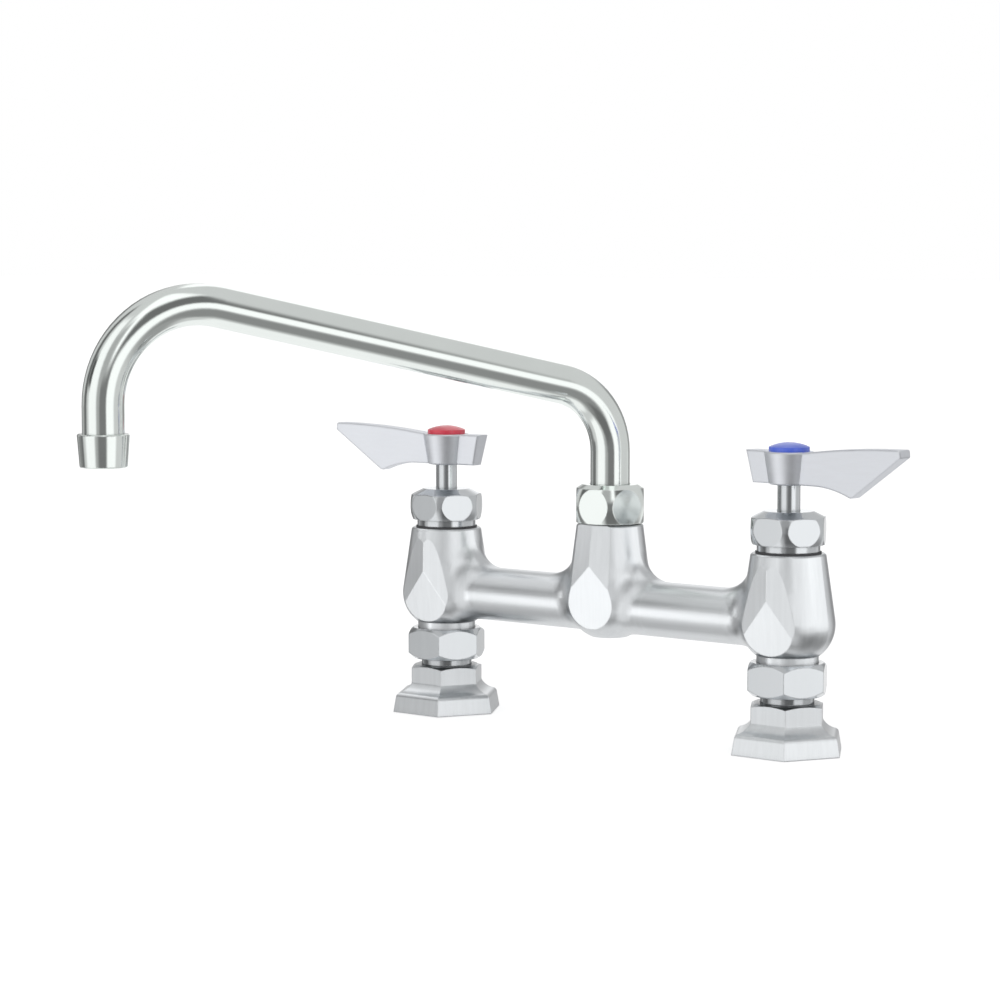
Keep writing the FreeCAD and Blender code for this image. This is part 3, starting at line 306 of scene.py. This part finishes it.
def make_floor():
    """A plain pale floor under the part. The metal mirrors the studio instead of it."""
    half = FLOOR_SIZE / 2
    mesh = bpy.data.meshes.new("floor")
    corners = [(-half, -half, -FLOOR_DROP), (half, -half, -FLOOR_DROP), (half, half, -FLOOR_DROP),
               (-half, half, -FLOOR_DROP)]
    mesh.from_pydata(corners, [], [(0, 1, 2, 3)])
    floor = bpy.data.objects.new("floor", mesh)
    bpy.context.scene.collection.objects.link(floor)
    material, _, shader = new_material("floor_paper")
    shader.inputs["Base Color"].default_value = (*FLOOR_COLOUR, 1.0)
    shader.inputs["Roughness"].default_value = 1.0
    shader.inputs["Specular IOR Level"].default_value = 0.0
    shader.inputs["Emission Color"].default_value = grey(1.0)
    shader.inputs["Emission Strength"].default_value = FLOOR_GLOW
    mesh.materials.append(material)
    floor.visible_glossy = False


def brush_marks(graph, place, streak):
    """Fine marks as streak gives them, turned along the bridge between the post and each valve."""
    upright = graph.noise(graph.stretched(place, streak), 1.0, detail=3.0, roughness=0.6)
    level = graph.noise(graph.stretched(place, streak[::-1]), 1.0, detail=3.0, roughness=0.6)
    parts = graph.node("ShaderNodeSeparateXYZ")
    graph.feed(parts.inputs[0], place)
    half = VALVE_OFFSET / 2
    off_middle = graph.math("SUBTRACT", graph.math("ABSOLUTE", parts.outputs[0]), half)
    off_axis = graph.math("SUBTRACT", half, graph.math("ABSOLUTE", off_middle))
    return graph.mix(graph.ramp(off_axis, UPRIGHT_REACH, TURN_REACH, 0.0, 1.0), upright, level)


def metal(name, tint, smooth, dull, streak, streak_depth, wave_depth, streak_shade):
    """Plated metal: brush marks, waves from polishing, a dull bloom in patches and painted shade in crevices.
    """
    material, graph, shader = new_material(name)
    place = graph.node("ShaderNodeTexCoord").outputs["Object"]
    bloom = graph.noise(place, BLOOM_SCALE, detail=4.0)
    marks = brush_marks(graph, place, streak)
    # Painted shade: occlusion by this piece and its neighbours darkens the colour in crevices and between
    # parts
    crevice = graph.node("ShaderNodeAmbientOcclusion", samples=CREVICE_SAMPLES)
    crevice.inputs["Distance"].default_value = CREVICE_REACH

    clouds = graph.ramp(bloom, NOISE_LOW, NOISE_HIGH, BLOOM_SHADE, 1.0)
    lines = graph.ramp(marks, NOISE_LOW, NOISE_HIGH, streak_shade, 1.0)
    # Painted shade in crevices, darkest where the view out is most closed
    painted_crevice_shade = graph.ramp(crevice.outputs["AO"], CREVICE_CLOSED, CREVICE_OPEN, CREVICE_SHADE, 1.0)
    shade = graph.math("MULTIPLY", graph.math("MULTIPLY", clouds, lines), painted_crevice_shade)
    graph.feed(shader.inputs["Base Color"], graph.mix(1.0, (*tint, 1.0), shade, "MULTIPLY"))

    shader.inputs["Metallic"].default_value = 1.0
    both = graph.math("ADD", graph.math("MULTIPLY", bloom, 0.5), graph.math("MULTIPLY", marks, 0.5))
    graph.feed(shader.inputs["Roughness"], graph.ramp(both, NOISE_LOW, NOISE_HIGH, smooth, dull))

    edge = graph.node("ShaderNodeBevel", samples=EDGE_SAMPLES)
    edge.inputs["Radius"].default_value = EDGE_RADIUS
    wave = graph.bump(graph.noise(place, WAVE_SCALE, detail=1.0), wave_depth, edge.outputs[0])
    graph.feed(shader.inputs["Normal"], graph.bump(marks, streak_depth, wave))
    return material


def plastic(name, colour, roughness, coat):
    """Moulded plastic with a faint flow mottle and a fine orange peel."""
    material, graph, shader = new_material(name)
    place = graph.node("ShaderNodeTexCoord").outputs["Object"]
    flow = graph.noise(place, FLOW_SCALE, detail=3.0)
    dark = tuple(FLOW_SHADE * part for part in colour)
    graph.feed(shader.inputs["Base Color"], graph.mix(flow, (*dark, 1.0), (*colour, 1.0)))
    smooth = roughness * (1 - FLOW_DULLING)
    dull = roughness * (1 + FLOW_DULLING)
    graph.feed(shader.inputs["Roughness"], graph.ramp(flow, NOISE_LOW, NOISE_HIGH, smooth, dull))
    shader.inputs["Coat Weight"].default_value = coat
    shader.inputs["Coat Roughness"].default_value = COAT_ROUGHNESS
    peel = graph.noise(place, PEEL_SCALE, detail=2.0)
    graph.feed(shader.inputs["Normal"], graph.bump(peel, PEEL_DEPTH, strength=PEEL_STRENGTH))
    return material


def dress_nodes():
    """Gives every piece the finish that its slot in the record names."""
    finishes = {name: metal(name, *values) for name, values in METALS.items()}
    finishes.update({name: plastic(name, *values) for name, values in PLASTICS.items()})
    for part in frame["record"]["subparts"]:
        node = frame["nodes"][part["node"]]
        node.data.materials.clear()
        node.data.materials.append(finishes[part["material_slot"]])


make_camera()
make_studio()
make_softboxes()
make_floor()
dress_nodes()
bpy.context.scene.view_settings.view_transform = "Standard"
